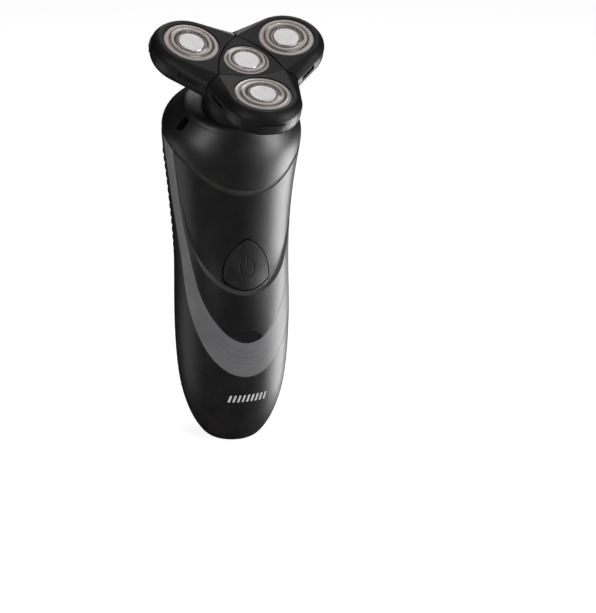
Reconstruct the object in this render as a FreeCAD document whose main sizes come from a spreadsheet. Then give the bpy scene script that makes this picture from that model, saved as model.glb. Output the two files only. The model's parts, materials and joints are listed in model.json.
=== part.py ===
import FreeCAD, Part

# Rotary electric shaver with a pull-off head of three hinged cutter pods around a fixed centre cutter.
# Units are millimetres.  +Z is up, -Y is the front (the side with the button), and the origin is the
# centre of the flat face that the handle stands on.
#
# Three frames are used:
#   row frame   the shaver standing on its base
#   head frame  origin at the middle of the centre guard's face, Z along the tilted neck, X to the right
#   pod frame   origin at the middle of an outer guard's face, X outward, Z along that guard's axis
# Pod pieces are built once in the head frame with their pod on +X, then turned to their place.

import math
import os
import re
import Sketcher
from FreeCAD import Placement, Rotation, Vector

OUT = "parts"
X_AXIS = Vector(1, 0, 0)
Y_AXIS = Vector(0, 1, 0)
Z_AXIS = Vector(0, 0, 1)
FAR = 80.0  # reach of a cutting tool that has to pass the whole shaver

# Cross-sections of the handle from the base to the neck: each is an oval.
STATION_FIELDS = ("level", "width", "depth", "shift", "lean", "scoop")
STATIONS = [
    # level, half width, half depth, shift to the back, lean in degrees, depth of the thumb scoop
    (0.0, 9.8, 9.7, 0.0, 0.0, 0.0),
    (1.0, 11.3, 11.1, 0.0, 0.0, 0.0),
    (3.6, 13.6, 13.4, 0.0, 0.0, 0.0),
    (8.0, 16.3, 16.1, 0.0, 0.0, 0.0),
    (14.0, 18.8, 18.6, 0.0, 0.0, 0.0),
    (22.0, 21.0, 20.7, 0.0, 0.0, 0.0),
    (32.0, 22.4, 22.1, 0.0, 0.0, 0.0),
    (45.0, 23.2, 22.9, 0.0, 0.0, 0.0),
    (60.0, 23.4, 23.0, 0.0, 0.0, 0.0),
    (75.0, 23.2, 22.7, 0.4, 0.0, 1.7),
    (90.0, 23.7, 22.7, 0.9, 0.0, 1.1),
    (100.0, 24.6, 22.9, 1.2, 1.0, 0.35),
    (110.0, 25.7, 23.6, 1.0, 4.0, 0.0),
    (120.0, 27.1, 24.2, 0.3, 8.0, 0.0),
    (127.0, 27.9, 24.3, -0.4, 12.0, 0.0),
    (132.5, 27.5, 24.3, -0.9, 17.0, 0.0),
    (136.6, 24.7, 22.6, -3.1, 22.0, 0.0),
    (138.9, 21.6, 19.9, -6.1, 25.5, 0.0),
]

SIZES = {
    # head frame
    "head_forward": 20.0,
    "head_level": 160.0,
    "head_lean": 27.0,
    # pods
    "pod_reach": 22.0,
    "pod_raise": 1.25,
    "pod_dish": 5.5,
    "pod_wall": 1.4,
    "pod_gap": 0.3,
    "hinge_reach": 16.3,
    "hinge_drop": 9.6,
    "hinge_pin_radius": 0.75,
    "knuckle_radius": 1.6,
    # centre cap
    "cap_corner": 15.0,
    "cap_side": 9.9,
    "cap_top": 0.2,
    "cap_floor": 4.35,
    # guards and cutters
    "guard_radius": 10.95,
    "centre_guard_radius": 8.85,
    "guard_skirt": 2.6,
    "cutter_top": 0.75,
    "cutter_floor": 3.4,
    "blade_count": 15,
    # gears
    "centre_teeth": 36,
    "pod_teeth": 27,
    "gear_drop": 7.0,
    "gear_width": 1.8,
    # hub and neck, all measured down the neck from the head frame's origin
    "hub_radius": 14.8,
    "hub_wall": 0.8,
    "hub_roof": 4.4,
    "hub_ceiling": 5.2,
    "hub_deck": 8.4,
    "hub_floor": 9.4,
    "skirt_end": 20.9,
    "neck_drop": 22.0,
    "neck_radius": 15.5,
    "neck_boss": 12.0,
    "motor_face": 28.0,
    "motor_radius": 10.2,
    "motor_length": 30.0,
    # handle
    "wall": 2.4,
    "trim_depth": 1.4,
    "part_gap": 0.12,
    "seal_half": 0.8,
    "button_height": 20.0,
    "button_half_width": 9.2,
    "button_middle": 78.4,
    "battery_radius": 7.1,
    "battery_length": 50.0,
    "battery_back": 5.0,
    "battery_level": 13.5,
    "board_front": 13.6,
}


def gear_module():
    """Return the module that makes the leaning pod gears mesh with the centre gear."""
    dish = math.radians(SIZES["pod_dish"])
    distance = SIZES["pod_reach"] + SIZES["gear_drop"] * math.sin(dish)
    return 2 * distance / (SIZES["centre_teeth"] + SIZES["pod_teeth"] * math.cos(dish))


SIZES["gear_module"] = gear_module()
document = FreeCAD.newDocument("RotaryShaver")
sheet = document.addObject("Spreadsheet::Sheet", "Sizes")
nodes = []


def fill_sheet():
    """Write every driving size to the sheet, each with an alias."""
    rows = list(SIZES.items())
    for number, station in enumerate(STATIONS):
        rows += [(f"{field}_{number}", value) for field, value in zip(STATION_FIELDS, station)]
    for row, (name, value) in enumerate(rows, start=1):
        sheet.set(f"A{row}", name)
        sheet.set(f"B{row}", str(value))
        sheet.setAlias(f"B{row}", name)
    document.recompute()


def size(name):
    """Return one driving size from the sheet."""
    return float(getattr(sheet, name))


def bound(expression):
    """Return an expression whose size names point at the sheet."""
    return re.sub(r"[a-z_]{3,}[a-z0-9_]*", lambda word: "Sizes." + word.group(), expression)


def value(expression):
    """Return the number that an expression of sizes gives."""
    return float(sheet.evalExpression(bound(expression)))


def keep(item, label, place=None):
    """Name a finished sub-part, put it in its place and count it as a node."""
    item.Label = label
    if place is not None:
        item.Placement = place
    nodes.append(item)
    return item


def shaped(label, shape, place=None):
    """Make a sub-part from a sculpted shape."""
    feature = document.addObject("Part::Feature", label)
    feature.Shape = shape
    return keep(feature, label, place)


# ---------------------------------------------------------------- frames


def head_frame():
    """Return the placement of the head frame."""
    origin = Vector(0, -size("head_forward"), size("head_level"))
    return Placement(origin, Rotation(X_AXIS, size("head_lean")))


def pod_turn(angle):
    """Return the placement that carries a piece built for the pod on +X to the pod at an angle."""
    return head_frame().multiply(Placement(Vector(), Rotation(Z_AXIS, angle)))


def pod_frame():
    """Return the pod frame's placement in the head frame, for the pod on +X."""
    origin = Vector(size("pod_reach"), 0, size("pod_raise"))
    return Placement(origin, Rotation(Y_AXIS, -size("pod_dish")))


PODS = {"front": -90.0, "right": 30.0, "left": 150.0}


# ---------------------------------------------------------------- sketch helpers


def origin_plane(body, role):
    """Return one of the body's own origin planes."""
    return next(plane for plane in body.Origin.OriginFeatures if plane.Role == role)


def sketch_polygon(body, name, role, points):
    """Draw a closed outline whose corners are bound to the sheet."""
    sketch = body.newObject("Sketcher::SketchObject", name)
    sketch.AttachmentSupport = [(origin_plane(body, role), "")]
    sketch.MapMode = "FlatFace"
    corners = [Vector(value(across), value(up), 0) for across, up in points]
    count = len(corners)
    for index in range(count):
        line = Part.LineSegment(corners[index], corners[(index + 1) % count])
        sketch.addGeometry(line, False)
    for index in range(count):
        following = (index + 1) % count
        sketch.addConstraint(Sketcher.Constraint("Coincident", index, 2, following, 1))
    for index, (across, up) in enumerate(points):
        bind_corner(sketch, index, "DistanceX", across, corners[index].x)
        bind_corner(sketch, index, "DistanceY", up, corners[index].y)
    return sketch


def bind_corner(sketch, index, kind, expression, number):
    """Hold one coordinate of a corner, on the axis where it is zero and to the sheet elsewhere."""
    if abs(number) < 1e-9:
        axis = -2 if kind == "DistanceX" else -1
        sketch.addConstraint(Sketcher.Constraint("PointOnObject", index, 1, axis))
        return
    row = sketch.addConstraint(Sketcher.Constraint(kind, -1, 1, index, 1, number))
    sketch.setExpression(f"Constraints[{row}]", bound(expression))


def turned(label, points, place, finish=True):
    """Turn a closed half-profile of (radius, height) about Z."""
    body = document.addObject("PartDesign::Body", label)
    sketch = sketch_polygon(body, label + "_profile", "XZ_Plane", points)
    turn = body.newObject("PartDesign::Revolution", label + "_turn")
    turn.Profile = sketch
    turn.ReferenceAxis = (sketch, ["V_Axis"])
    turn.Angle = 360
    sketch.Visibility = False
    if finish:
        keep(body, label, place)
    return body


def ringed(body, label, points, floor, height, count):
    """Add one upright tooth and repeat it round Z."""
    sketch = sketch_polygon(body, label + "_tooth", "XY_Plane", points)
    sketch.AttachmentOffset = Placement(Vector(0, 0, value(floor)), Rotation())
    sketch.setExpression("AttachmentOffset.Base.z", bound(floor))
    tooth = body.newObject("PartDesign::Pad", label + "_pad")
    tooth.Profile = sketch
    tooth.Length = value(height)
    tooth.setExpression("Length", bound(height))
    pattern = body.newObject("PartDesign::PolarPattern", label + "_ring")
    pattern.Originals = [tooth]
    pattern.Axis = (sketch, ["N_Axis"])
    pattern.Angle = 360
    pattern.Occurrences = int(value(count))
    pattern.setExpression("Occurrences", bound(count))
    body.Tip = pattern
    sketch.Visibility = False
    return pattern


def pocketed(body, label, points, floor, height):
    """Cut one prism out of the body, upward from a level."""
    sketch = sketch_polygon(body, label + "_outline", "XY_Plane", points)
    sketch.AttachmentOffset = Placement(Vector(0, 0, value(floor)), Rotation())
    sketch.setExpression("AttachmentOffset.Base.z", bound(floor))
    pocket = body.newObject("PartDesign::Pocket", label + "_pocket")
    pocket.Profile = sketch
    pocket.Length = value(height)
    pocket.setExpression("Length", bound(height))
    pocket.Reversed = True
    sketch.Visibility = False
    return pocket


# ---------------------------------------------------------------- solid helpers


def cylinder(radius, low, high, across=0.0, aside=0.0):
    """Return an upright cylinder between two levels."""
    return Part.makeCylinder(radius, high - low, Vector(across, aside, low), Z_AXIS)


def block(low, high):
    """Return the box between two corners."""
    spans = [top - bottom for bottom, top in zip(low, high)]
    return Part.makeBox(*spans, Vector(*low))


def prism(wire, direction):
    """Return the solid swept by a closed flat wire."""
    return Part.Face(wire).extrude(direction)


def placed(shape, place):
    """Return a copy of a shape carried by a placement."""
    copy = shape.copy()
    copy.transformShape(place.toMatrix(), True)
    return copy


def side_region(points, back):
    """Return everything between a smooth line seen from the side and a far plane, across the shaver.

    The points are (y, z) from the lower end to the upper end, and back is the far plane's y.
    """
    curve = Part.BSplineCurve()
    curve.interpolate([Vector(-FAR, y, z) for y, z in points])
    first = curve.StartPoint
    last = curve.EndPoint
    corner_high = Vector(-FAR, back, last.z)
    corner_low = Vector(-FAR, back, first.z)
    edges = [
        curve.toShape(),
        Part.LineSegment(last, corner_high).toShape(),
        Part.LineSegment(corner_high, corner_low).toShape(),
        Part.LineSegment(corner_low, first).toShape(),
    ]
    return prism(Part.Wire(edges), Vector(2 * FAR, 0, 0))


# ---------------------------------------------------------------- handle envelope


def oval(width, depth, back, level, lean):
    """Return one oval cross-section of the handle."""
    curve = Part.Ellipse(Vector(), width, min(depth, width - 1e-3))
    wire = Part.Wire([curve.toShape()])
    wire.Placement = Placement(Vector(0, back, level), Rotation(X_AXIS, lean))
    return wire


def station_ovals(inset, scooped):
    """Return the handle's cross-sections, moved inward by inset."""
    ovals = []
    sink = size("wall") * 0.8 if inset >= size("wall") else 0.0
    for number in range(len(STATIONS)):
        level, width, depth, back, lean, scoop = (
            size(f"{field}_{number}") for field in STATION_FIELDS
        )
        if scooped:
            depth -= scoop / 2
            back += scoop / 2
        if lean > 15:
            level -= sink
        ovals.append(oval(width - inset, depth - inset, back, level, lean))
    return ovals


def neck_oval(radius, drop):
    """Return a circle round the neck axis at a depth below the head frame's origin."""
    wire = Part.Wire([Part.Circle(Vector(0, 0, -drop), Z_AXIS, radius).toShape()])
    wire.Placement = head_frame()
    return wire


def envelope(inset=0.0, scooped=False):
    """Return the handle's outer body, moved inward by inset, as one solid."""
    ovals = station_ovals(inset, scooped)
    drop = size("neck_drop")
    if inset >= size("wall"):
        drop += size("wall") * 0.8
    ovals.append(neck_oval(size("neck_radius") - inset, drop))
    return Part.makeLoft(ovals, True, False)


# The arched seam between the lower casing and the shoulder, seen from the side as (y, z).
SEAM_LINE = [
    (-36, 92.6), (-30, 99.5), (-22.4, 108), (-17.9, 114), (-13.7, 119.3), (-8.6, 124), (-3.4, 127.6),
    (4, 130.2), (12.8, 130.9), (22, 130), (34, 126.5),
]


def under_seam(gap):
    """Return everything below the arched seam, stopping a gap short of it."""
    points = []
    for index, (y, z) in enumerate(SEAM_LINE):
        before = SEAM_LINE[max(index - 1, 0)]
        after = SEAM_LINE[min(index + 1, len(SEAM_LINE) - 1)]
        run = after[0] - before[0]
        rise = after[1] - before[1]
        length = math.hypot(run, rise)
        points.append(Vector(-FAR, y + gap * rise / length, z - gap * run / length))
    curve = Part.BSplineCurve()
    curve.interpolate(points)
    corners = [points[-1], Vector(-FAR, points[-1].y, -FAR), Vector(-FAR, points[0].y, -FAR), points[0]]
    edges = [curve.toShape()]
    edges += [Part.LineSegment(corners[step], corners[step + 1]).toShape() for step in range(3)]
    return prism(Part.Wire(edges), Vector(2 * FAR, 0, 0))


def hollow(inset_floor):
    """Return the space inside the casing, above its floor."""
    room = envelope(size("wall"), scooped=True)
    room = room.common(block((-FAR, -FAR, inset_floor), (FAR, FAR, 3 * FAR)))
    mouth = cylinder(size("neck_radius") - size("wall"), -size("motor_face"), -size("neck_drop") + 2)
    return room.fuse(placed(mouth, head_frame()))


# The swept lines of the trim band, the grip and the thumb scoop, seen from the side as (y, z).
BAND_INNER = [
    (-28, 33.5), (-22.9, 46.2), (-19.3, 55.2), (-14.7, 66), (-10, 81.8), (-7, 95.5), (-6.4, 105),
    (-7.2, 116), (-8.6, 138),
]
BAND_OUTER = [
    (-28, 19.5), (-22.1, 31.5), (-17.6, 40.5), (-11.8, 54.5), (-8, 66), (-4.5, 80.4), (-1.6, 92.5),
    (-0.2, 102), (0, 116), (0.4, 138),
]
GRIP_LINE = [(32, 33), (22.6, 44), (13.4, 61), (7.6, 78), (4.9, 95), (4.3, 114), (5.2, 138)]
SCOOP_LINE = [
    (-30, 53.5), (-22.7, 66.4), (-17.2, 73.4), (-12.8, 80.9), (-9.6, 90), (-8, 100), (-7.7, 110),
    (-9.6, 138),
]


def ahead_of(line, shift=0.0):
    """Return the region in front of a side line that is moved back by shift."""
    return side_region([(y + shift, z) for y, z in line], -FAR)


def behind(line, shift=0.0):
    """Return the region behind a side line that is moved back by shift."""
    return side_region([(y + shift, z) for y, z in line], FAR)


# ---------------------------------------------------------------- handle casings


BASE_THICKNESS = 2.4
INLET_RADIUS = 6.6
GRIP_DEPTH = 1.4
RIB_PITCH = 3.3
RIB_RISE = 0.25


def button_outline(grow):
    """Return the button's shield outline, point up, as a closed wire in front of the handle."""
    half = size("button_half_width") + grow
    middle = size("button_middle")
    top = middle + size("button_height") / 2 + grow
    low = middle - size("button_height") / 2 - grow
    corner = low + 3.7
    round_in = 1.5
    y = -FAR
    peak_half = 1.6
    left_top = Vector(-peak_half, y, top - 0.5)
    right_top = Vector(peak_half, y, top - 0.5)
    right_side = Vector(half, y, corner + round_in)
    right_foot = Vector(half - round_in, y, corner - 0.9)
    left_foot = Vector(-half + round_in, y, corner - 0.9)
    left_side = Vector(-half, y, corner + round_in)
    bulge = half * 0.815
    shoulder_level = corner + (top - corner) * 0.58
    corner_middle = Vector(half - 0.35, y, corner - 0.1)
    edges = [
        Part.Arc(left_top, Vector(0, y, top), right_top).toShape(),
        Part.Arc(right_top, Vector(bulge, y, shoulder_level), right_side).toShape(),
        Part.Arc(right_side, corner_middle, right_foot).toShape(),
        Part.Arc(right_foot, Vector(0, y, low), left_foot).toShape(),
        Part.Arc(left_foot, Vector(-corner_middle.x, y, corner_middle.z), left_side).toShape(),
        Part.Arc(left_side, Vector(-bulge, y, shoulder_level), left_top).toShape(),
    ]
    return Part.Wire(edges)


def lens_column(grow):
    """Return a round column running back into the handle behind the status lens."""
    return Part.makeCylinder(6.7 + grow, FAR, Vector(0, -FAR, 44.95), Y_AXIS)


def build_casings():
    """Build the shells that make the handle's outside."""
    gap = size("part_gap")
    outer = envelope()
    scooped = envelope(scooped=True)
    under_trim = envelope(size("trim_depth") + 0.1)
    under_grip = envelope(GRIP_DEPTH + 0.1)
    room = hollow(BASE_THICKNESS)
    casing = outer.cut(room)
    lower_side = under_seam(size("seal_half"))
    upper_side = block((-FAR, -FAR, 60), (FAR, FAR, 3 * FAR)).cut(under_seam(-size("seal_half")))
    panel_zone = ahead_of(BAND_INNER)
    trim_zone = ahead_of(BAND_OUTER)
    grip_zone = behind(GRIP_LINE)

    lower = casing.common(lower_side)
    lower = lower.cut(trim_zone.cut(under_trim))
    lower = lower.cut(panel_zone)
    lower = lower.cut(grip_zone.cut(under_grip))
    lower = lower.cut(cylinder(INLET_RADIUS + 0.05, -1, BASE_THICKNESS + 1))
    shaped("lower_housing", lower)

    trim = outer.cut(envelope(size("trim_depth")))
    trim = trim.common(lower_side).common(ahead_of(BAND_OUTER, -gap)).cut(ahead_of(BAND_INNER, gap))
    shaped("trim_band", trim)

    panel = casing.common(lower_side).common(ahead_of(BAND_INNER, -gap))
    panel = panel.cut(ahead_of(SCOOP_LINE).cut(scooped))
    panel = panel.cut(prism(button_outline(0.5), Vector(0, FAR, 0)))
    panel = panel.cut(lens_column(0.12))
    shaped("front_panel", panel)

    lens = outer.cut(envelope(2.0)).common(lens_column(0.0)).common(ahead_of(BAND_INNER, -gap))
    shaped("indicator_lens", lens)

    shaped("back_grip", grip_shape(outer, lower_side))
    shaped("shoulder_housing", shoulder_shape(casing, upper_side))
    ring = envelope(0.3).cut(room)
    ring = ring.common(under_seam(-size("seal_half") + 0.03)).cut(under_seam(size("seal_half") - 0.03))
    shaped("shoulder_seal", ring)


def grip_shape(outer, lower_side):
    """Return the rubber back grip: a skin with level ribs."""
    gap = size("part_gap")
    zone = behind(GRIP_LINE, gap)
    skin = outer.cut(envelope(GRIP_DEPTH)).common(zone)
    ribs = envelope(-RIB_RISE).cut(envelope(0.3)).common(behind(GRIP_LINE, gap + 1.2))
    bars = []
    level = 50.0
    while level < 122.0:
        bars.append(block((-FAR, -FAR, level), (FAR, FAR, level + RIB_PITCH / 2)))
        level += RIB_PITCH
    ribs = ribs.common(Part.makeCompound(bars))
    return skin.fuse(ribs).common(lower_side)


def shoulder_shape(casing, upper_side):
    """Return the conical shoulder with a cap-hook socket on each side."""
    shoulder = casing.common(upper_side)
    for side in (-1, 1):
        shoulder = shoulder.cut(hook_socket(side))
    return shoulder


def hook_socket(side):
    """Return the slanted slot that takes one hook of the head's cover."""
    middle = Vector(side * 22.8, -10.0, 134.5)
    outward = Vector(side * 0.78, -0.36, 0.51)
    along = Vector(-side * 0.55, -0.05, 0.83)
    aside = outward.cross(along).normalize()
    along = aside.cross(outward).normalize()
    frame = FreeCAD.Matrix(
        along.x, aside.x, outward.x, middle.x,
        along.y, aside.y, outward.y, middle.y,
        along.z, aside.z, outward.z, middle.z,
        0, 0, 0, 1,
    )
    half_length = 1.3
    half_width = 1.85
    slot = block((-half_length, -half_width, -4), (half_length, half_width, 4))
    for end in (-half_length, half_length):
        slot = slot.fuse(cylinder(half_width, -4, 4, end))
    slot = slot.removeSplitter()
    slot.transformShape(frame, True)
    return slot


def upright_oval(half_width, half_height, level):
    """Return the prism of an upright oval, running back from in front of the handle."""
    top = Vector(0, -FAR, level + half_height)
    oval_curve = Part.Ellipse(top, Vector(half_width, -FAR, level), Vector(0, -FAR, level))
    return prism(Part.Wire([oval_curve.toShape()]), Vector(0, FAR, 0))


def power_symbol():
    """Return the power symbol as columns: an oval ring open at its top, and an upright bar."""
    level = size("button_middle") - 1.4
    ring = upright_oval(3.15, 3.85, level).cut(upright_oval(2.65, 3.35, level))
    ring = ring.cut(block((-1.4, -FAR, level), (1.4, 0, level + 6)))
    return ring.fuse(block((-0.26, -FAR, level + 0.7), (0.26, 0, level + 5)))


def build_button():
    """Build the power button with its sunk power symbol and its stem, and the gasket behind it."""
    outline = prism(button_outline(0.0), Vector(0, FAR, 0))
    cap = envelope(-0.3, scooped=True).cut(envelope(1.5, scooped=True)).common(outline)
    cap = cap.cut(power_symbol().cut(envelope(0.05, scooped=True)))
    middle = size("button_middle")
    stem = Part.makeCylinder(1.8, 3.4, Vector(0, -20.2, middle), Y_AXIS)
    shaped("power_button", cap.fuse(stem))
    rim = prism(button_outline(1.6), Vector(0, FAR, 0))
    gasket = envelope(2.45, scooped=True).cut(envelope(3.1, scooped=True)).common(rim)
    shaped("button_gasket", gasket.cut(Part.makeCylinder(2.1, 30, Vector(0, -35, middle), Y_AXIS)))


# ---------------------------------------------------------------- handle works


def build_neck():
    """Build the neck ring that carries the motor and seats the head, with its two motor screws."""
    label = "neck_ring"
    body = turned(label, [
        ("3.6", "-motor_face"),
        ("neck_radius - wall - 0.1", "-motor_face"),
        ("neck_radius - wall - 0.1", "-neck_drop"),
        ("neck_radius - 0.7", "-neck_drop"),
        ("neck_radius - 0.7", "-neck_drop + 1"),
        ("neck_boss", "-neck_drop + 1"),
        ("neck_boss", "-neck_drop + 7"),
        ("neck_boss - 0.6", "-neck_drop + 7.6"),
        ("neck_boss - 2.5", "-neck_drop + 7.6"),
        ("neck_boss - 2.5", "-motor_face + 1.5"),
        ("3.6", "-motor_face + 1.5"),
    ], None, finish=False)
    document.recompute()
    for number, side in enumerate((-1, 1)):
        near = f"{side} * 7.5 - 1.05"
        far = f"{side} * 7.5 + 1.05"
        pocket = pocketed(body, f"{label}_hole_{number}", [
            (near, "-1.05"), (far, "-1.05"), (far, "1.05"), (near, "1.05"),
        ], "-motor_face - 1", "4")
        body.Tip = pocket
    keep(body, label, head_frame())
    seal = turned("neck_seal", [
        ("neck_boss - 2.5", "-neck_drop + 7.7"),
        ("neck_boss - 1.0", "-neck_drop + 7.7"),
        ("neck_boss - 1.0", "-neck_drop + 8.5"),
        ("neck_boss - 2.5", "-neck_drop + 8.5"),
    ], head_frame())
    screws = []
    for side in (-1, 1):
        face = -size("motor_face")
        screw = cylinder(0.95, face - 2.5, face + 1.5, side * 7.5)
        head = cylinder(1.9, face + 1.55, face + 2.8, side * 7.5)
        slot = block((side * 7.5 - 0.3, -3, face + 2.2), (side * 7.5 + 0.3, 3, face + 4))
        screws.append(screw.fuse(cylinder(0.95, face + 1.4, face + 1.6, side * 7.5)).fuse(head).cut(slot))
    shaped("motor_screws", Part.makeCompound(screws), head_frame())


def build_motor():
    """Build the motor's can, its end cap and its turning armature with shaft and drive coupling."""
    place = head_frame()
    body = turned("motor_can", [
        ("1.6", "-motor_face - 0.05"),
        ("motor_radius", "-motor_face - 0.05"),
        ("motor_radius", "-motor_face - motor_length + 3"),
        ("motor_radius - 0.8", "-motor_face - motor_length + 3"),
        ("motor_radius - 0.8", "-motor_face - 3"),
        ("1.6", "-motor_face - 3"),
    ], None, finish=False)
    document.recompute()
    for number, side in enumerate((-1, 1)):
        near = f"{side} * 7.5 - 1"
        far = f"{side} * 7.5 + 1"
        pocket = pocketed(body, f"motor_can_hole_{number}", [
            (near, "-1"), (far, "-1"), (far, "1"), (near, "1"),
        ], "-motor_face - 2.8", "4")
        body.Tip = pocket
    keep(body, "motor_can", place)
    turned("motor_end_cap", [
        ("1.1", "-motor_face - motor_length + 2.95"),
        ("motor_radius - 0.1", "-motor_face - motor_length + 2.95"),
        ("motor_radius - 0.1", "-motor_face - motor_length + 1"),
        ("3.5", "-motor_face - motor_length + 1"),
        ("3", "-motor_face - motor_length"),
        ("1.1", "-motor_face - motor_length"),
    ], place)
    turned("motor_armature", [
        ("0", "-motor_face - motor_length + 1.5"),
        ("1", "-motor_face - motor_length + 1.5"),
        ("1", "-motor_face - motor_length + 4"),
        ("4", "-motor_face - motor_length + 4"),
        ("4", "-motor_face - motor_length + 8"),
        ("motor_radius - 1.8", "-motor_face - motor_length + 9"),
        ("motor_radius - 1.8", "-motor_face - 5"),
        ("1", "-motor_face - 5"),
        ("1", "-motor_face + 5.9"),
        ("0", "-motor_face + 5.9"),
    ], place)
    low = -size("motor_face") + 3
    shoulder = -size("hub_floor") - 4.4
    top = -size("hub_deck") - 1.2
    coupling = cylinder(2.4, low, shoulder).fuse(hexagon(3.2, shoulder, top))
    coupling = coupling.cut(cylinder(1.02, low - 1, -size("motor_face") + 6))
    shaped("drive_coupling", coupling, place)


def hexagon(across_flats, low, high):
    """Return a hexagonal prism round Z, with flats on its left and right."""
    radius = across_flats / math.sqrt(3)
    corners = [polar(radius, 60 * step + 30, low) for step in range(6)]
    return prism(Part.makePolygon(corners + corners[:1]), Vector(0, 0, high - low))


def build_battery():
    """Build the cell and the inner chassis that holds cell, motor and board together."""
    radius = size("battery_radius")
    low = size("battery_level")
    back = size("battery_back")
    place = Placement(Vector(0, back, low), Rotation())
    turned("battery_cell", [
        ("0", "0"),
        ("battery_radius", "0"),
        ("battery_radius", "battery_length - 1.2"),
        ("battery_radius - 0.8", "battery_length - 0.6"),
        ("2.4", "battery_length - 0.6"),
        ("2.4", "battery_length + 0.6"),
        ("0", "battery_length + 0.6"),
    ], place)
    high = low + size("battery_length") - 6
    sleeve = cylinder(radius + 1.2, low - 1.2, high, 0, back)
    sleeve = sleeve.cut(cylinder(radius + 0.1, low, high + 1, 0, back))
    sleeve = sleeve.cut(block((-4, back, low + 6), (4, back + 12, high - 8)))
    board = size("board_front")
    rail = block((-7, -board + 1.3, low + 24), (7, back - radius - 0.9, low + 27))
    rail = rail.cut(cylinder(radius + 0.6, 0, 100, 0, back))
    spine = block((-7, -board + 1.3, low + 24), (7, -board + 2.5, 96))
    cradle = cylinder(
        size("motor_radius") + 1.3, -size("motor_face") - size("motor_length") + 4, -size("motor_face") - 12
    )
    cradle = cradle.cut(cylinder(size("motor_radius") + 0.1, -90, 0))
    cradle = placed(cradle, head_frame())
    bore = placed(cylinder(size("motor_radius") + 0.6, -90, 0), head_frame())
    strut = block((-5, -board + 1.3, 93), (5, -2, 112)).cut(bore)
    chassis = sleeve.fuse(rail).fuse(spine).fuse(strut).fuse(cradle).removeSplitter()
    shaped("chassis", chassis)


def build_electronics():
    """Build the circuit board with its switch, status light and charging inlet."""
    front = -size("board_front")
    middle = size("button_middle")
    board = block((-7, front, 40), (7, front + 1.2, 94))
    shaped("circuit_board", board)
    switch = block((-3, front - 1.6, middle - 3), (3, front - 0.05, middle + 3))
    plunger = Part.makeCylinder(1.5, 0.6, Vector(0, front - 1.6, middle), -Y_AXIS)
    shaped("tactile_switch", switch.fuse(plunger))
    light = Part.makeCylinder(1.5, 3.2, Vector(0, front - 0.05, 49.6), -Y_AXIS)
    light = light.fuse(Part.makeSphere(1.5, Vector(0, front - 3.25, 49.6)))
    shaped("indicator_led", light.cut(block((-5, front - 0.05, 40), (5, front + 9, 60))))
    wells = []
    pins = []
    for side in (-1, 1):
        wells.append(cylinder(2.3, -1, 8.5, side * 3.7))
        pins.append(cylinder(0.8, 2.0, 11.5, side * 3.7))
    inlet = cylinder(INLET_RADIUS, 0, 9.8)
    inlet = inlet.fuse(cylinder(INLET_RADIUS + 1.3, BASE_THICKNESS + 0.05, BASE_THICKNESS + 1.4))
    for well in wells:
        inlet = inlet.cut(well)
    for side in (-1, 1):
        inlet = inlet.cut(cylinder(0.82, 8, 11, side * 3.7))
    shaped("charging_inlet", inlet)
    shaped("inlet_pins", Part.makeCompound(pins))


# ---------------------------------------------------------------- pod shells (head frame, pod on +X)


LID_SECTIONS = [
    # level below the guard's face, round end's radius, flare of the sides in degrees
    (-3.7, 15.2, 12.0),
    (-2.6, 14.95, 10.5),
    (-1.5, 14.3, 7.5),
    (-0.7, 13.5, 4.5),
    (-0.15, 12.6, 2.5),
]
BASE_SECTIONS = [
    (-3.75, 15.0, 12.0),
    (-6.0, 15.1, 12.0),
    (-8.0, 14.8, 12.0),
    (-9.8, 13.8, 12.0),
    (-13.0, 10.5, 12.0),
]
ROOT_REACH = -18.0
CAVITY_FLOOR = -8.3
SIDE_ANGLE = 60.0


def pod_outline(level, radius, flare):
    """Return a pod's outline at one level: a round end whose sides flare towards the middle."""
    turn = math.radians(flare)
    touch = Vector(radius * math.sin(turn), radius * math.cos(turn), level)
    spread = touch.y + (touch.x - ROOT_REACH) * math.tan(turn)
    left = Vector(ROOT_REACH, spread, level)
    right = Vector(ROOT_REACH, -spread, level)
    mirror = Vector(touch.x, -touch.y, level)
    edges = [
        Part.LineSegment(right, mirror).toShape(),
        Part.Arc(mirror, Vector(radius, 0, level), touch).toShape(),
        Part.LineSegment(touch, left).toShape(),
        Part.LineSegment(left, right).toShape(),
    ]
    return Part.Wire(edges)


def pod_loft(sections, inset=0.0):
    """Return the solid through pod outlines, moved inward by inset."""
    wires = [pod_outline(level, radius - inset, flare) for level, radius, flare in sections]
    return Part.makeLoft(wires, True, False)


def in_pod(shape):
    """Carry a shape from the pod frame to the head frame."""
    return placed(shape, pod_frame())


def polar(radius, angle, level):
    """Return the point at a radius, an angle in degrees and a level."""
    turn = math.radians(angle)
    return Vector(radius * math.cos(turn), radius * math.sin(turn), level)


def cap_wire(grow, level):
    """Return the centre cap's outline: three bulging sides with corners between the pods."""
    corner = size("cap_corner") + grow
    side = size("cap_side") + grow
    edges = []
    for turn in (0, 120, 240):
        start = polar(corner, turn - 60, level)
        middle = polar(side, turn, level)
        end = polar(corner, turn + 60, level)
        edges.append(Part.Arc(start, middle, end).toShape())
    return Part.Wire(edges)


def cap_column(grow, low, high):
    """Return the prism of the centre cap's outline, grown sideways."""
    return prism(cap_wire(grow, low), Vector(0, 0, high - low))


def pod_sector(gap):
    """Return the wedge that one pod may fill, with a gap to the planes between pods."""
    turn = math.radians(SIDE_ANGLE)
    tip = gap / math.sin(turn)
    reach = 60.0
    corners = [
        Vector(tip, 0, -FAR),
        Vector(tip + reach, -reach * math.tan(turn), -FAR),
        Vector(tip + reach, reach * math.tan(turn), -FAR),
    ]
    return prism(Part.makePolygon(corners + corners[:1]), Vector(0, 0, 2 * FAR))


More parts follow.
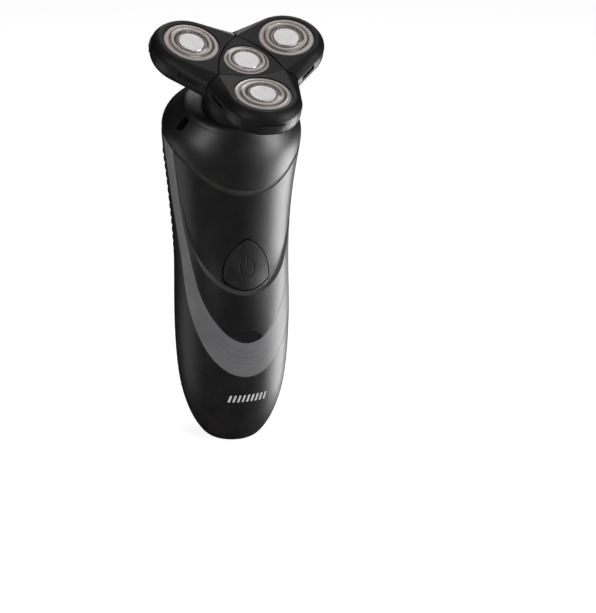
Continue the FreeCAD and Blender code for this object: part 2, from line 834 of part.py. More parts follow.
def lid_shape():
    """Return a pod's lid with its guard opening."""
    gap = size("pod_gap")
    wall = size("pod_wall")
    shell = in_pod(pod_loft(LID_SECTIONS)).common(pod_sector(gap)).cut(cap_column(0.22, -FAR, FAR))
    levels = [(-5.0, 15.2, 12.0), (-3.7, 15.2, 12.0), (-2.6, 14.95, 10.5), (-1.5, 14.3, 7.5)]
    cavity = in_pod(pod_loft(levels, wall)).common(pod_sector(gap + wall)).cut(cap_column(wall, -FAR, FAR))
    radius = size("guard_radius")
    opening = cylinder(radius + 0.05, -1, 2).fuse(cylinder(radius + 0.33, -6, -0.72))
    return shell.cut(cavity).cut(in_pod(opening))


def under_belly():
    """Return everything below a pod's belly, which rises towards its tip."""
    slope = 0.104
    tip_level = -9.3
    inner = Vector(-30, -FAR, tip_level - slope * 45)
    outer = Vector(30, -FAR, tip_level + slope * 15)
    corners = [inner, outer, Vector(30, -FAR, -FAR), Vector(-30, -FAR, -FAR)]
    return in_pod(prism(Part.makePolygon(corners + corners[:1]), Vector(0, 2 * FAR, 0)))


def hinge_cylinder(radius, low, high):
    """Return a cylinder round a pod's hinge axis between two sideways places."""
    start = Vector(size("hinge_reach"), low, -size("hinge_drop"))
    return Part.makeCylinder(radius, high - low, start, Y_AXIS)


LUG_INNER = 4.4
LUG_OUTER = 6.6
KNUCKLE_LOW = -4.1
KNUCKLE_HIGH = 0.8
TAB_ANGLE = 18.0


def base_shape():
    """Return a pod's lower cup with its gear post, hinge knuckle and finger slots."""
    gap = size("pod_gap")
    wall = size("pod_wall")
    hub = cylinder(size("hub_radius") + 0.6, -FAR, FAR)
    inner_hub = cylinder(size("hub_radius") + 0.6 + wall, -FAR, FAR)
    cup = in_pod(pod_loft(BASE_SECTIONS)).common(pod_sector(gap)).cut(hub)
    levels = [(CAVITY_FLOOR, 14.4, 12.0), (-6.0, 15.1, 12.0), (-3.0, 15.1, 12.0)]
    cavity = in_pod(pod_loft(levels, wall)).common(pod_sector(gap + wall)).cut(inner_hub)
    sweep = in_pod(cylinder(11.2, CAVITY_FLOOR, -2))
    cup = cup.cut(cavity).cut(sweep)
    cup = cup.fuse(hinge_cylinder(size("knuckle_radius"), KNUCKLE_LOW, KNUCKLE_HIGH))
    cup = cup.cut(under_belly().cut(hinge_cylinder(size("knuckle_radius"), KNUCKLE_LOW, KNUCKLE_HIGH)))
    reach = size("hinge_reach")
    drop = size("hinge_drop")
    room = size("knuckle_radius") + 0.15
    for low, high in ((-LUG_OUTER - 0.3, KNUCKLE_LOW), (KNUCKLE_HIGH + 0.2, LUG_OUTER + 0.3)):
        cup = cup.cut(hinge_cylinder(room, low, high))
    for side in (-1, 1):
        near, far = sorted((side * (LUG_INNER - 0.3), side * (LUG_OUTER + 0.3)))
        cup = cup.cut(block((reach - 5, near, -drop - 3), (reach, far, -drop + 2.4)))
    cup = cup.cut(hinge_cylinder(size("hinge_pin_radius") + 0.06, -9, 9))
    cup = cup.fuse(in_pod(cylinder(0.75, CAVITY_FLOOR - 0.2, -4.8)))
    for side in (-1, 1):
        slot = block((-4.2, -0.9, -6.3), (4.2, 0.9, -3.7))
        place = Placement(Vector(-4, side * 16.45, 0), Rotation(Z_AXIS, -side * 12.0))
        cup = cup.cut(in_pod(placed(slot, place)))
        line = block((14.7, -0.18, -8.6), (16.0, 0.18, -3.7))
        cup = cup.cut(in_pod(placed(line, Placement(Vector(), Rotation(Z_AXIS, side * 45)))))
    pocket = tab_segment(14.25, 18.0, -8.2, -4.75, TAB_ANGLE + 0.7)
    return cup.cut(in_pod(pocket))


def tab_segment(inner, outer, low, high, half_angle):
    """Return a piece of a ring centred on the pod's outward direction."""
    corners = [Vector(inner, 0, low), Vector(outer, 0, low), Vector(outer, 0, high), Vector(inner, 0, high)]
    face = Part.Face(Part.makePolygon(corners + corners[:1]))
    ring = face.revolve(Vector(), Z_AXIS, 2 * half_angle)
    ring.rotate(Vector(), Z_AXIS, -half_angle)
    return ring


def tab_shape():
    """Return the release tab at a pod's tip, with a raised ledge along its top."""
    plate = tab_segment(14.3, 15.15, -8.0, -4.9, TAB_ANGLE)
    ledge = tab_segment(14.35, 15.65, -5.9, -4.9, TAB_ANGLE)
    return in_pod(plate.fuse(ledge))


def spring_shape():
    """Return a pod's return spring: a coil round the hinge pin."""
    coil = Part.makeHelix(0.6, 2.4, 1.25)
    wire_section = Part.Wire([Part.Circle(Vector(1.25, 0, 0), Y_AXIS, 0.2).toShape()])
    spring = Part.Wire(coil).makePipeShell([wire_section], True, True)
    start = Vector(size("hinge_reach"), KNUCKLE_HIGH + 0.6, -size("hinge_drop"))
    return placed(spring, Placement(start, Rotation(X_AXIS, -90)))


def build_pods():
    """Build the shells, tab, pin and spring of each pod."""
    shapes = {
        "pod_lid": lid_shape(),
        "pod_base": base_shape(),
        "release_tab": tab_shape(),
        "hinge_pin": hinge_cylinder(size("hinge_pin_radius"), -LUG_OUTER - 0.3, LUG_OUTER + 0.3),
        "hinge_spring": spring_shape(),
    }
    for pod, angle in PODS.items():
        for name, shape in shapes.items():
            shaped(f"{name}_{pod}", shape, pod_turn(angle))


# ---------------------------------------------------------------- guards, cutters and gears


def guard_profile():
    """Return the half-profile of an outer guard: disc, well, raised track, groove and rim."""
    return [
        ("0", "-0.15"), ("4.85", "-0.15"), ("5.1", "-0.35"), ("5.2", "-1"), ("6.1", "-1"),
        ("6.3", "-0.35"), ("6.7", "-0.05"), ("7.45", "0.1"), ("8.2", "-0.05"), ("8.6", "-0.35"),
        ("8.72", "-0.6"), ("9", "-0.6"), ("9.12", "-0.3"), ("10.5", "-0.35"),
        ("guard_radius", "-0.5"), ("guard_radius", "-0.76"),
        ("guard_radius + 0.28", "-0.76"), ("guard_radius + 0.28", "-guard_skirt"),
        ("guard_radius - 0.5", "-guard_skirt"), ("guard_radius - 0.5", "-0.85"),
        ("9.3", "-0.8"), ("9.1", "-1.1"), ("8.6", "-1.1"), ("8.3", "-0.6"), ("7.45", "-0.4"),
        ("6.75", "-0.5"), ("6.5", "-0.9"), ("6.35", "-1.5"), ("4.75", "-1.5"),
        ("4.65", "-0.65"), ("0", "-0.65"),
    ]


def centre_guard_profile():
    """Return the half-profile of the smaller centre guard."""
    return [
        ("0", "-0.1"), ("4.9", "-0.1"), ("5.08", "-0.3"), ("5.15", "-0.8"), ("5.65", "-0.8"),
        ("5.8", "-0.25"), ("6.2", "0"), ("6.9", "0.05"), ("7.4", "-0.15"), ("7.7", "-0.3"),
        ("8.6", "-0.35"), ("centre_guard_radius", "-0.5"), ("centre_guard_radius", "-0.76"),
        ("centre_guard_radius + 0.25", "-0.76"), ("centre_guard_radius + 0.25", "-guard_skirt"),
        ("centre_guard_radius - 0.5", "-guard_skirt"), ("centre_guard_radius - 0.5", "-0.85"),
        ("7.6", "-0.8"), ("7.3", "-0.65"), ("6.9", "-0.45"), ("6.25", "-0.5"),
        ("5.98", "-0.75"), ("5.85", "-1.3"), ("4.75", "-1.3"), ("4.65", "-0.6"), ("0", "-0.6"),
    ]


def retainer_profile(guard):
    """Return the half-profile of the ring that holds a guard in from behind."""
    return [
        (f"{guard} - 1.1", "-cutter_floor - 0.1"),
        (f"{guard} + 0.2", "-cutter_floor - 0.1"),
        (f"{guard} + 0.2", "-guard_skirt - 0.05"),
        (f"{guard} - 1.1", "-guard_skirt - 0.05"),
    ]


def build_cutter(label, rim, blade_inner, blade_outer, place):
    """Build a cutter: a disc with a square driving socket and a ring of upright blades."""
    body = turned(label, [
        ("0", "-cutter_floor"), (rim, "-cutter_floor"), (rim, "-cutter_floor + 0.6"),
        ("2.6", "-cutter_floor + 0.6"), ("2.6", "-cutter_floor + 1.5"), ("0", "-cutter_floor + 1.5"),
    ], None, finish=False)
    ringed(body, label, [
        (blade_inner, "-0.25"), (blade_outer, "-0.25"), (blade_outer, "0.25"), (blade_inner, "0.25"),
    ], "-cutter_floor + 0.5", "cutter_floor - cutter_top - 0.5", "blade_count")
    document.recompute()
    pocket = pocketed(body, label, [
        ("-1.4", "-1.4"), ("1.4", "-1.4"), ("1.4", "1.4"), ("-1.4", "1.4"),
    ], "-cutter_floor - 0.5", "1.4")
    body.Tip = pocket
    keep(body, label, place)


def add_teeth(body, label, teeth, floor, height):
    """Put straight-sided teeth on a gear blank."""
    pitch = f"{teeth} * gear_module / 2"
    tip = f"{pitch} + 0.9 * gear_module"
    root = f"{pitch} - 1.15 * gear_module"
    root_half = "1.08 * gear_module"
    tip_half = "0.33 * gear_module"
    ringed(body, label, [
        (f"{root} - 0.4", f"-{root_half}"), (root, f"-{root_half}"), (tip, f"-{tip_half}"),
        (tip, tip_half), (root, root_half), (f"{root} - 0.4", root_half),
    ], floor, height, teeth)


def add_square(body, label):
    """Put the square driving tip on top of a spindle."""
    sketch = sketch_polygon(body, label + "_square", "XY_Plane", [
        ("-1.3", "-1.3"), ("1.3", "-1.3"), ("1.3", "1.3"), ("-1.3", "1.3"),
    ])
    sketch.AttachmentOffset = Placement(Vector(0, 0, -value("cutter_floor") - 0.1), Rotation())
    sketch.setExpression("AttachmentOffset.Base.z", bound("-cutter_floor - 0.1"))
    tip = body.newObject("PartDesign::Pad", label + "_tip")
    tip.Profile = sketch
    tip.Length = 0.7
    sketch.Visibility = False
    body.Tip = tip


def build_centre_gear():
    """Build the gear driven by the motor's coupling, in one with the centre cutter's spindle."""
    label = "centre_gear"
    root = "centre_teeth * gear_module / 2 - 1.15 * gear_module"
    body = turned(label, [
        ("0", "-cutter_floor - 0.05"), ("1.9", "-cutter_floor - 0.05"), ("1.9", "-hub_ceiling - 0.35"),
        (root, "-hub_ceiling - 0.35"), (root, "-hub_ceiling - 2.5"), ("3.2", "-hub_ceiling - 2.5"),
        ("3.2", "-hub_floor - 4"), ("0", "-hub_floor - 4"),
    ], None, finish=False)
    add_teeth(body, label, "centre_teeth", "-hub_ceiling - 2.5", "2.15")
    document.recompute()
    add_square(body, label)
    document.recompute()
    across = 3.5 / math.sqrt(3)
    points = [polar(across, 60 * step, 0) for step in range(6)]
    corners = [(f"{point.x:.4f}", f"{point.y:.4f}") for point in points]
    pocket = pocketed(body, label, corners, "-hub_floor - 4.5", "4.8")
    body.Tip = pocket
    keep(body, label, pod_turn(PODS["front"]))


def build_pod_gear(label, place):
    """Build a pod's gear with its hollow spindle and square tip."""
    root = "pod_teeth * gear_module / 2 - 1.15 * gear_module"
    top = "-gear_drop + gear_width / 2"
    low = "-gear_drop - gear_width / 2"
    body = turned(label, [
        ("0.82", f"{low} - 0.2"), ("2.4", f"{low} - 0.2"), ("2.4", low), (root, low), (root, top),
        ("1.9", top), ("1.9", "-cutter_floor - 0.05"), ("0", "-cutter_floor - 0.05"),
        ("0", "-4.6"), ("0.82", "-4.6"),
    ], None, finish=False)
    add_teeth(body, label, "pod_teeth", low, "gear_width")
    document.recompute()
    add_square(body, label)
    keep(body, label, place)


def build_cutting_units():
    """Build every guard, retainer, cutter and gear."""
    for pod, angle in PODS.items():
        place = pod_turn(angle).multiply(pod_frame())
        turned(f"guard_{pod}", guard_profile(), place)
        turned(f"retainer_{pod}", retainer_profile("guard_radius"), place)
        build_cutter(f"cutter_{pod}", "9.3", "6.75", "8.25", place)
        build_pod_gear(f"pod_gear_{pod}", place)
    place = pod_turn(PODS["front"])
    turned("guard_centre", centre_guard_profile(), place)
    turned("retainer_centre", retainer_profile("centre_guard_radius"), place)
    build_cutter("cutter_centre", "7.6", "6.1", "7.1", place)
    build_centre_gear()


# ---------------------------------------------------------------- hub


def build_hub():
    """Build the head's base, the cover over the gears and the three-cornered centre cap."""
    place = pod_turn(PODS["front"])
    outer = size("hub_radius")
    wall = size("hub_wall")
    deck = -size("hub_deck")
    floor = -size("hub_floor")
    ceiling = -size("hub_ceiling")
    end = -size("skirt_end")
    boss = size("neck_boss") + 0.12
    profile = [
        (3.3, deck), (outer - wall, deck), (outer - wall, ceiling - 0.05), (outer, ceiling - 0.05),
        (outer, deck + 0.4), (outer - 1.5, floor), (outer - 1.6, floor - 3.6), (outer - 0.2, end),
        (boss, end), (boss, end + 7.5), (boss - 3, end + 8), (boss - 3, floor), (3.3, floor),
    ]
    corners = [Vector(radius, 0, level) for radius, level in profile]
    hub = Part.Face(Part.makePolygon(corners + corners[:1])).revolve(Vector(), Z_AXIS, 360)
    for turn in (0, 120, 240):
        hub = hub.cut(turned_copy(block((10, -6.5, deck + 0.01), (17, 6.5, ceiling + 1)), turn))
        for side in (-1, 1):
            hub = hub.fuse(turned_copy(lug(side), turn))
    hub = hub.cut(cylinder(3.3, floor - 5, deck + 5)).removeSplitter()
    for turn in (0, 120, 240):
        pin_room = hinge_cylinder(size("hinge_pin_radius") + 0.01, -9, 9)
        hub = hub.cut(turned_copy(pin_room.cut(cylinder(outer - 1.5, -FAR, FAR)), turn))
    shaped("head_base", hub, place)

    turned("gear_cover", [
        ("2.1", "-hub_ceiling"), ("hub_radius", "-hub_ceiling"), ("hub_radius", "-hub_roof"),
        ("2.1", "-hub_roof"),
    ], place)

    rim = size("centre_guard_radius")
    top = -size("cap_top")
    cap = cap_column(0.0, -size("cap_floor"), top)
    edges = [edge for edge in cap.Edges if min(v.Z for v in edge.Vertexes) > top - 0.01]
    cap = cap.makeChamfer(0.3, edges)
    cap = cap.cut(cylinder(rim + 0.05, -1, 1)).cut(cylinder(rim + 0.3, -6, -0.72))
    shaped("centre_cap", cap, place)


def lug(side):
    """Return one hinge lug of the head's base, for the pod on +X."""
    near, far = sorted((side * LUG_INNER, side * LUG_OUTER))
    reach = size("hinge_reach")
    drop = size("hinge_drop")
    radius = size("knuckle_radius")
    arm = block((11.6, near, -drop - radius), (reach, far, -drop + radius))
    return arm.fuse(hinge_cylinder(radius, near, far))


def turned_copy(shape, angle):
    """Return a copy of a shape turned round the head's axis."""
    copy = shape.copy()
    copy.rotate(Vector(), Z_AXIS, angle)
    return copy


# ---------------------------------------------------------------- checks and export


def check_document():
    """Stop if any object failed or any sub-part has no valid solid."""
    for item in document.Objects:
        if "Invalid" in item.State or "Error" in item.State:
            raise RuntimeError(f"{item.Label} failed: {item.State}")
    for node in nodes:
        if node.Shape.isNull() or not node.Shape.isValid() or not node.Shape.Solids:
            raise RuntimeError(f"{node.Label} has no valid solid")


def main():
    fill_sheet()
    build_casings()
    build_button()
    build_neck()
    build_motor()
    build_battery()
    build_electronics()
    build_pods()
    build_cutting_units()
    build_hub()
    document.recompute()
    check_document()
    os.makedirs(OUT, exist_ok=True)
    for node in nodes:
        node.Shape.exportStep(os.path.join(OUT, node.Label + ".step"))
    print(f"{len(nodes)} sub-parts written")


main()
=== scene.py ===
"""The looks of a cordless rotary shaver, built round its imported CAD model.

Lengths are in metres. Sizes of details are written in millimetres and multiplied by MM.
"""

import json
import math

import bmesh
import bpy
from mathutils import Matrix, Vector
from mathutils.bvhtree import BVHTree


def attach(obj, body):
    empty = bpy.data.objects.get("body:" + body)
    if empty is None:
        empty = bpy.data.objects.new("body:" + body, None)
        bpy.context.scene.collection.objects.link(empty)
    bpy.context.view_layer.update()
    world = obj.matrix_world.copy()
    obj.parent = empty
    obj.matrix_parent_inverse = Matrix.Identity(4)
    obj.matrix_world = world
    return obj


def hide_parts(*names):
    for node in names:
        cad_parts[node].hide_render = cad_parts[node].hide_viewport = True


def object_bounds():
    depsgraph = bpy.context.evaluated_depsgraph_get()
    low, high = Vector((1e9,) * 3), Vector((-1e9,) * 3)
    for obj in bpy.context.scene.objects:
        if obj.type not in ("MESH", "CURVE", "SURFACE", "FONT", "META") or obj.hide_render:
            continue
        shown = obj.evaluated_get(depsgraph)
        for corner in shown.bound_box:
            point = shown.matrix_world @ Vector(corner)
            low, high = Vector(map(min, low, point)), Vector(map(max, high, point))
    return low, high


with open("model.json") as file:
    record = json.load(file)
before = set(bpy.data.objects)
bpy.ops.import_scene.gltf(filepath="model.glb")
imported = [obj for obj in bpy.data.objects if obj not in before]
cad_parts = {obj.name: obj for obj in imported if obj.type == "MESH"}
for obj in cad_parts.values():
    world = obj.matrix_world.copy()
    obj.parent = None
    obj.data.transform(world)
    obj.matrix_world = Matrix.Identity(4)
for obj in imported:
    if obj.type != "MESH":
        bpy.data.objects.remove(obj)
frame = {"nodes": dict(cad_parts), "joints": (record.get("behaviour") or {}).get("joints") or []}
CAD_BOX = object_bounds()
NODES = frame["nodes"]
JOINTS = {joint["name"]: joint for joint in frame["joints"]}
MM = 0.001
PODS = ("front", "right", "left")


# ---------------------------------------------------------------- node graphs


class Graph:
    """A material's node tree with short calls for the nodes used here."""

    def __init__(self, name):
        self.material = bpy.data.materials.new(name)
        self.material.use_nodes = True
        self.tree = self.material.node_tree
        self.tree.nodes.clear()
        self.place = self.add("ShaderNodeTexCoord").outputs["Object"]

    def add(self, kind, inputs=None, **settings):
        """Add a node, set its properties and feed its inputs."""
        node = self.tree.nodes.new(kind)
        for name, setting in settings.items():
            setattr(node, name, setting)
        for name, source in (inputs or {}).items():
            self.feed(node.inputs[name], source)
        return node

    def feed(self, socket, source):
        """Link a socket to an output, or set its value."""
        if isinstance(source, bpy.types.NodeSocket):
            self.tree.links.new(source, socket)
        else:
            socket.default_value = source

    def math(self, operation, first, second=0.0):
        return self.add("ShaderNodeMath", {0: first, 1: second}, operation=operation).outputs[0]

    def noise(self, scale, detail=2.0, rough=0.5, vector=None):
        inputs = {"Scale": scale, "Detail": detail, "Roughness": rough, "Vector": vector or self.place}
        return self.add("ShaderNodeTexNoise", inputs).outputs["Fac"]

    def span(self, value, low, high, to_low, to_high):
        """Map a value from one span to another, held at its ends."""
        inputs = {0: value, 1: low, 2: high, 3: to_low, 4: to_high}
        return self.add("ShaderNodeMapRange", inputs).outputs[0]

    def mix(self, factor, first, second):
        node = self.add("ShaderNodeMix", {0: factor}, data_type="RGBA")
        self.feed(node.inputs[6], first)
        self.feed(node.inputs[7], second)
        return node.outputs[2]

    def bump(self, height, distance, normal=None):
        inputs = {"Height": height, "Distance": distance, "Strength": 1.0}
        if normal is not None:
            inputs["Normal"] = normal
        return self.add("ShaderNodeBump", inputs).outputs[0]

    def soft_edge(self, radius):
        """Return a normal that rounds sharp edges, and a mask of where they are."""
        rounded = self.add("ShaderNodeBevel", {"Radius": radius}, samples=6).outputs[0]
        flat = self.add("ShaderNodeNewGeometry").outputs["Normal"]
        dot = self.add("ShaderNodeVectorMath", {0: rounded, 1: flat}, operation="DOT_PRODUCT")
        return rounded, self.span(dot.outputs["Value"], 0.995, 0.9, 0.0, 1.0)

    def finish(self, **inputs):
        """End the tree in a principled shader and return the material."""
        shader = self.add("ShaderNodeBsdfPrincipled", {k.replace("_", " "): v for k, v in inputs.items()})
        self.add("ShaderNodeOutputMaterial", {"Surface": shader.outputs[0]})
        return self.material


def tone(red, green, blue):
    """Return a linear colour from the 0-255 values of a display."""
    def linear(part):
        share = part / 255
        return share / 12.92 if share <= 0.04045 else ((share + 0.055) / 1.055) ** 2.4
    return (linear(red), linear(green), linear(blue), 1.0)


def satin(name, dark, light, rough=0.36, grain=0.02, edge=0.25, sheen=0.5):
    """Moulded plastic: fine grain, uneven gloss, and a painted highlight that makes the edges a little
    paler.
    """
    graph = Graph(name)
    rounded, at_edge = graph.soft_edge(edge * MM)
    mottle = graph.noise(140.0, 4.0, 0.6)
    speck = graph.noise(5200.0, 1.0)
    colour = graph.mix(graph.span(mottle, 0.3, 0.7, 0.0, 1.0), dark, light)
    # Painted highlight: sharp edges are mixed towards a paler copy of the light tone.
    edge_highlight = tuple(min(1.0, part * 2.2 + 0.004) for part in light[:3]) + (1.0,)
    colour = graph.mix(graph.math("MULTIPLY", at_edge, 0.35), colour, edge_highlight)
    gloss = graph.math("ADD", rough - 0.04, graph.math("MULTIPLY", mottle, 0.08))
    gloss = graph.math("ADD", gloss, graph.math("MULTIPLY", speck, 0.05))
    texture = graph.math("ADD", graph.noise(2600.0, 2.0), graph.math("MULTIPLY", speck, 0.5))
    normal = graph.bump(texture, grain * MM, rounded)
    return graph.finish(
        Base_Color=colour, Roughness=gloss, Normal=normal, Specular_IOR_Level=sheen,
    )


def rubber(name, dark, light, rough=0.6):
    """Matt rubber with a fine pebbled skin, its edges painted lighter as a highlight."""
    graph = Graph(name)
    rounded, at_edge = graph.soft_edge(0.2 * MM)
    cells = graph.add("ShaderNodeTexVoronoi", {"Scale": 2300.0, "Vector": graph.place})
    dust = graph.noise(300.0, 5.0, 0.65)
    colour = graph.mix(graph.span(dust, 0.35, 0.75, 0.0, 1.0), dark, light)
    # Painted highlight: sharp edges are mixed towards the light tone.
    colour = graph.mix(graph.math("MULTIPLY", at_edge, 0.3), colour, light)
    gloss = graph.span(dust, 0.3, 0.7, rough - 0.06, rough + 0.08)
    return graph.finish(
        Base_Color=colour, Roughness=gloss,
        Normal=graph.bump(cells.outputs["Distance"], 0.05 * MM, rounded),
        Specular_IOR_Level=0.4,
    )


def polished(name, colour, rough):
    """Plain metal with fine scratches."""
    graph = Graph(name)
    rounded, at_edge = graph.soft_edge(0.1 * MM)
    scratches = graph.noise(3800.0, 3.0, 0.7)
    stain = graph.noise(260.0, 3.0)
    darker = tuple(part * 0.8 for part in colour[:3]) + (1.0,)
    shade = graph.mix(graph.span(stain, 0.35, 0.7, 0.0, 1.0), colour, darker)
    gloss = graph.math("ADD", rough - 0.05, graph.math("MULTIPLY", scratches, 0.14))
    return graph.finish(
        Base_Color=shade, Roughness=gloss, Metallic=1.0,
        Normal=graph.bump(scratches, 0.01 * MM, rounded),
    )


def paint(node, material):
    """Give a CAD node one material."""
    slots = NODES[node].material_slots
    for slot in slots:
        slot.material = material
    if not slots:
        NODES[node].data.materials.append(material)


def turned_metal(name, face, light, dark, face_radius):
    """Steel turned on a lathe, with fine turning marks: a brushed face painted paler as a highlight,
    inside rings painted warmer and darker as shade.

    The marks drift outwards with the angle, so they run in a flat spiral. face_radius is in mm.
    """
    graph = Graph(name)
    split = graph.add("ShaderNodeSeparateXYZ", {0: graph.place})
    flat = graph.add("ShaderNodeCombineXYZ", {0: split.outputs[0], 1: split.outputs[1], 2: 0.0})
    reach = graph.add("ShaderNodeVectorMath", {0: flat.outputs[0]}, operation="LENGTH").outputs["Value"]
    turn = graph.math("ARCTAN2", split.outputs[1], split.outputs[0])
    drift = graph.math("ADD", reach, graph.math("MULTIPLY", turn, 0.35 * MM))
    along = graph.add("ShaderNodeCombineXYZ", {0: drift, 1: 0.0, 2: 0.0}).outputs[0]
    marks = graph.noise(9000.0, 3.0, 0.7, along)
    broad = graph.noise(700.0, 2.0, 0.5, along)
    stain = graph.noise(330.0, 3.0, 0.6)
    outside = graph.span(reach, face_radius * MM, (face_radius + 0.3) * MM, 0.0, 1.0)
    ring_painted_shade = graph.mix(graph.span(broad, 0.3, 0.7, 0.0, 1.0), light, dark)
    face_painted_highlight = graph.mix(graph.span(broad, 0.35, 0.7, 0.0, 0.35), face, light)
    # Painted highlight and shade: inside face_radius the pale face tone, outside it the darker ring tone.
    colour = graph.mix(outside, face_painted_highlight, ring_painted_shade)
    colour = graph.mix(graph.span(stain, 0.4, 0.8, 0.0, 0.3), colour, dark)
    gloss = graph.math("ADD", graph.span(outside, 0.0, 1.0, 0.3, 0.22), graph.math("MULTIPLY", marks, 0.1))
    normal = graph.bump(marks, 0.01 * MM)
    metal = graph.span(outside, 0.0, 1.0, 1.0, 0.6)
    return graph.finish(Base_Color=colour, Roughness=gloss, Metallic=metal, Normal=normal)


# ---------------------------------------------------------------- meshes


def new_piece(name, mesh, body, material, place=None):
    """Put a mesh into the scene as a piece that rides on a body."""
    mesh.materials.append(material)
    piece = bpy.data.objects.new(name, mesh)
    bpy.context.scene.collection.objects.link(piece)
    if place is not None:
        piece.matrix_world = place
    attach(piece, body)
    return piece


def shade(mesh, degrees=32.0):
    """Shade smooth, with creases sharper than an angle kept."""
    mesh.shade_smooth()
    mesh.set_sharp_from_angle(angle=math.radians(degrees))


# Where the four sectors of a guard's step begin, as shares of the step, and the ones its slots open
SECTORS = (0.0, 0.35, 0.5, 0.85)
COARSE, FINE = (2,), (1, 3)


def slotted_disc(name, rings, cuts, count):
    """Turn a plate of (radius, top, bottom) rings, cut through by evenly spaced radial slots.

    Each of the plate's steps is four sectors wide. A cut is a pair of ring numbers that its slots
    run between, with the sectors that they open: one for coarse slots, or two for fine ones.
    """
    work = bmesh.new()
    turns = [2 * math.pi * (step + share) / count for step in range(count) for share in SECTORS]
    grid = {}
    for index, turn in enumerate(turns):
        for ring, (radius, top, bottom) in enumerate(rings):
            across = radius * MM * math.cos(turn)
            aside = radius * MM * math.sin(turn)
            grid[index, ring, 1] = work.verts.new((across, aside, top * MM))
            grid[index, ring, 0] = work.verts.new((across, aside, bottom * MM))
    last = len(rings) - 1

    def is_open(index, ring):
        sector = index % len(SECTORS)
        return any(low <= ring < high and sector in opened for low, high, opened in cuts)

    for index in range(len(turns)):
        after = (index + 1) % len(turns)
        for ring in range(last):
            if is_open(index, ring):
                for turn, flip in ((index, False), (after, True)):
                    wall = [grid[turn, ring, 0], grid[turn, ring + 1, 0],
                            grid[turn, ring + 1, 1], grid[turn, ring, 1]]
                    work.faces.new(wall if flip else wall[::-1])
                continue
            work.faces.new([grid[index, ring, 1], grid[index, ring + 1, 1],
                            grid[after, ring + 1, 1], grid[after, ring, 1]])
            work.faces.new([grid[index, ring, 0], grid[after, ring, 0],
                            grid[after, ring + 1, 0], grid[index, ring + 1, 0]])
        for ring in range(1, last):
            before = is_open(index, ring - 1)
            if before != is_open(index, ring):
                wall = [grid[index, ring, 0], grid[after, ring, 0],
                        grid[after, ring, 1], grid[index, ring, 1]]
                work.faces.new(wall if before else wall[::-1])
        work.faces.new([grid[index, last, 0], grid[after, last, 0],
                        grid[after, last, 1], grid[index, last, 1]])
    bmesh.ops.remove_doubles(work, verts=work.verts, dist=1e-7)
    bmesh.ops.recalc_face_normals(work, faces=work.faces)
    mesh = bpy.data.meshes.new(name)
    work.to_mesh(mesh)
    work.free()
    shade(mesh, 38.0)
    return mesh


def surface_of(node):
    """Return a search tree over a CAD node's surface."""
    mesh = NODES[node].data
    points = [vertex.co.copy() for vertex in mesh.vertices]
    return BVHTree.FromPolygons(points, [list(face.vertices) for face in mesh.polygons])


def on_front(tree, across, up):
    """Return the place and the outward normal of the surface seen from the front."""
    before_it = Vector((across, CAD_BOX[0].y - 0.1, up))
    place, normal, _, _ = tree.ray_cast(before_it, Vector((0, 1, 0)))
    return place, normal if normal.y < 0 else -normal


def printed_bar(name, tree, corners, rise, body, material):
    """Lay a thin four-cornered mark on the front of the handle."""
    low_left, low_right, high_right, high_left = (Vector(corner) for corner in corners)
    work = bmesh.new()
    steps_across, steps_up = 3, 10
    grids = []
    for lift in (rise, -rise):
        grid = []
        for row in range(steps_up + 1):
            up = row / steps_up
            left = low_left.lerp(high_left, up)
            right = low_right.lerp(high_right, up)
            line = []
            for column in range(steps_across + 1):
                flat = left.lerp(right, column / steps_across)
                place, normal = on_front(tree, flat.x, flat.y)
                line.append(work.verts.new(place + normal * lift))
            grid.append(line)
        grids.append(grid)
    top, bottom = grids
    for row in range(steps_up):
        for column in range(steps_across):
            for grid in grids:
                work.faces.new([grid[row][column], grid[row][column + 1],
                                grid[row + 1][column + 1], grid[row + 1][column]])
    rim = [(0, column) for column in range(steps_across)]
    rim += [(row, steps_across) for row in range(steps_up)]
    rim += [(steps_up, column) for column in range(steps_across, 0, -1)]
    rim += [(row, 0) for row in range(steps_up, 0, -1)]
    for (row, column), (next_row, next_column) in zip(rim, rim[1:] + rim[:1]):
        work.faces.new([top[row][column], top[next_row][next_column],
                        bottom[next_row][next_column], bottom[row][column]])
    bmesh.ops.recalc_face_normals(work, faces=work.faces)
    mesh = bpy.data.meshes.new(name)
    work.to_mesh(mesh)
    work.free()
    shade(mesh, 40.0)
    new_piece(name, mesh, body, material)


# ---------------------------------------------------------------- finishes

CHARCOAL_DARK = tone(24, 24, 26)
CHARCOAL_LIGHT = tone(33, 33, 35)
BROWN_BLACK = tone(27, 25, 25)
BROWN_BLACK_LIGHT = tone(37, 34, 33)

pod_plastic = satin(
    "pod_plastic", CHARCOAL_DARK, CHARCOAL_LIGHT, rough=0.42, grain=0.016, edge=0.35, sheen=0.13)
pod_under = satin(
    "pod_under_plastic", tone(22, 22, 24), tone(30, 30, 32), rough=0.40, grain=0.02, sheen=0.35)
cap_plastic = satin("cap_plastic", CHARCOAL_DARK, CHARCOAL_LIGHT, rough=0.42, grain=0.016, sheen=0.12)
tab_plastic = satin("tab_plastic", tone(30, 30, 32), tone(42, 42, 44), rough=0.34, grain=0.01)
shoulder_plastic = satin(
    "shoulder_plastic", tone(24, 24, 25), tone(32, 32, 33), rough=0.38, grain=0.018, sheen=0.55)
panel_plastic = satin(
    "panel_plastic", tone(21, 21, 22), tone(28, 28, 29), rough=0.37, grain=0.018, sheen=0.42)
button_plastic = satin(
    "button_plastic", tone(30, 30, 32), tone(41, 41, 43), rough=0.37, grain=0.02, edge=0.3, sheen=0.35)
lower_plastic = satin("lower_plastic", BROWN_BLACK, BROWN_BLACK_LIGHT, rough=0.40, grain=0.02, sheen=0.35)
inlet_plastic = satin("inlet_plastic", tone(28, 28, 29), tone(38, 38, 38), rough=0.45, grain=0.02)
